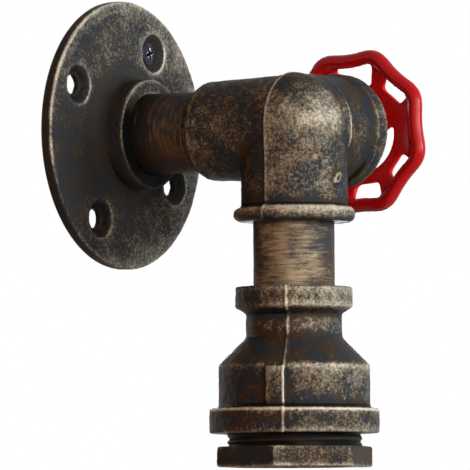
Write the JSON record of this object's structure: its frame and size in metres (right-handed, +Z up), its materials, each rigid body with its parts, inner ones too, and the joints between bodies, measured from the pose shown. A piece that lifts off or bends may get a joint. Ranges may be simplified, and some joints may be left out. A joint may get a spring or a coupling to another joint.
{
  "type": "pipe wall light",
  "caption": "Industrial wall light of cast pipe fittings: wall flange, short arm, corner elbow with a red handwheel switch, and a drop with a bell reducer that holds a screw lampholder.",
  "frame": {"origin": "centre of the wall flange's back face, on the arm's axis", "axes": "+Y into the wall, so the arm runs out along -Y; +X towards the handwheel; +Z up, so the lamp hangs along -Z"},
  "size_m": [0.0948, 0.099, 0.1571],
  "materials": {
    "cast_bronze": "rough casting painted dark bronze, rubbed with gold on its high spots",
    "pipe_bronze": "smooth pipe painted dark bronze, rubbed lightly with gold",
    "red_enamel": "thick glossy red enamel",
    "dark_steel": "blackened steel, dull",
    "zinc_steel": "bright zinc plate",
    "contact_brass": "pressed brass",
    "porcelain": "white glaze",
    "black_plastic": "moulded, fine grain",
    "brown_board": "laminated board",
    "grey_plastic": "moulded",
    "splice_red": "crimped sleeve",
    "wire_brown": "silicone",
    "wire_black": "silicone",
    "wire_blue": "silicone",
    "wire_green": "silicone"
  },
  "bodies": {
    "fixture": {"wall_flange": "cast_bronze", "flange_screw": "dark_steel", "arm_nipple": "pipe_bronze", "corner_elbow": "cast_bronze", "drop_nipple": "pipe_bronze", "bell_reducer": "cast_bronze", "hex_bushing": "cast_bronze", "hollow_stud": "zinc_steel", "stud_locknuts": "zinc_steel", "upper_washer": "zinc_steel", "lower_washer": "zinc_steel", "earth_tag": "contact_brass", "stud_grommet": "black_plastic", "lampholder_cap": "porcelain", "lampholder_body": "porcelain", "screw_shell": "contact_brass", "terminal_blocks": "contact_brass", "terminal_screws": "zinc_steel", "terminal_rivets": "contact_brass", "tongue_base": "contact_brass", "port_bushing": "cast_bronze", "switch_housing": "black_plastic", "switch_cover": "brown_board", "switch_neck": "zinc_steel", "neck_washer": "zinc_steel", "neck_locknut": "zinc_steel", "switch_tabs": "contact_brass", "crimp_splices": "splice_red", "live_wire": "wire_brown", "switched_wire": "wire_black", "neutral_wire": "wire_blue", "earth_wire": "wire_green"},
    "wheel": {"handwheel": "red_enamel", "handwheel_washer": "zinc_steel", "handwheel_nut": "zinc_steel", "switch_spindle": "zinc_steel", "switch_cam": "grey_plastic", "contact_blade": "contact_brass"},
    "tongue": {"contact_tongue": "contact_brass"}
  },
  "joints": [
    {"name": "handwheel_turn", "type": "hinge", "parent": "fixture", "child": "wheel", "pos_m": [0.0373, -0.071, 0], "axis": [-1, 0, 0], "range_deg": [0, 90]},
    {"name": "tongue_flex", "type": "hinge", "parent": "fixture", "child": "tongue", "pos_m": [0.0051, -0.071, -0.0925], "axis": [0, 1, 0], "range_deg": [0, 14], "stiffness_Nm_per_rad": 0.12}
  ]
}
